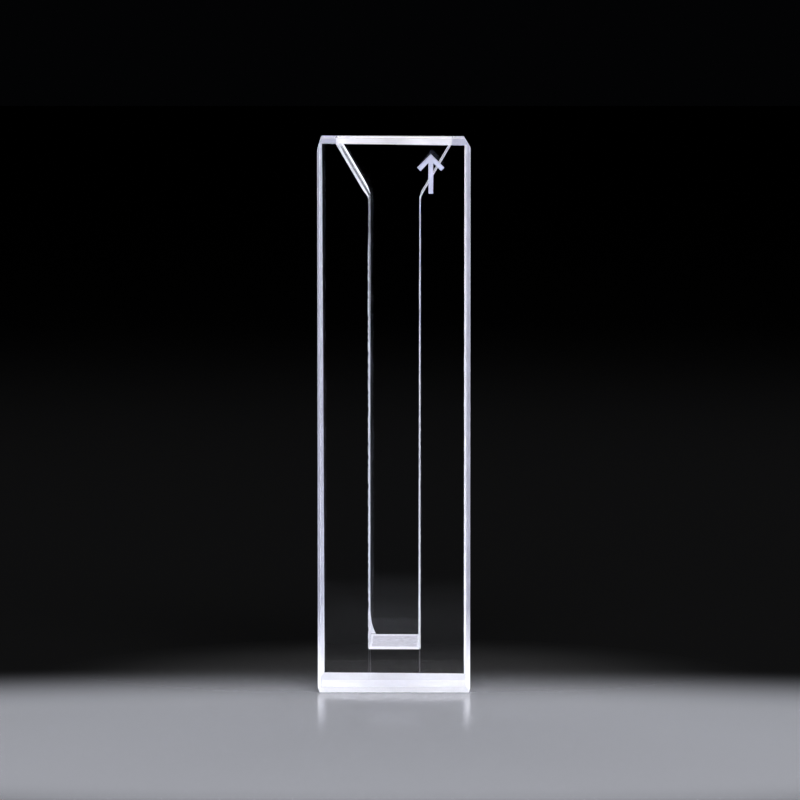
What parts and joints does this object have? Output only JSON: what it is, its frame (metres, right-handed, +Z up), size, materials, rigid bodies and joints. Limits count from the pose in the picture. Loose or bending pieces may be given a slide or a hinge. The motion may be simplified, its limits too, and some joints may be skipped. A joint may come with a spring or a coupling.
{
  "type": "cuvette",
  "caption": "Square quartz cell with two clear windows and a narrow full-depth slot under a funnel mouth, for measuring a small liquid sample in a light beam.",
  "frame": {"origin": "centre of the foot, at the bottom of the cell", "axes": "+Z up to the rim, +X to the right seen from the front, +Y from the front window to the back window along the light path"},
  "size_m": [0.0124, 0.0126, 0.045],
  "materials": {
    "polished_quartz": "polished windows, with ground bevels and an engraved frosted mark",
    "ground_quartz": "fine ground, matt and translucent white"
  },
  "bodies": {
    "root": {"front_window": "polished_quartz", "back_window": "polished_quartz", "left_wall": "ground_quartz", "right_wall": "ground_quartz", "base_block": "ground_quartz"}
  },
  "joints": []
}
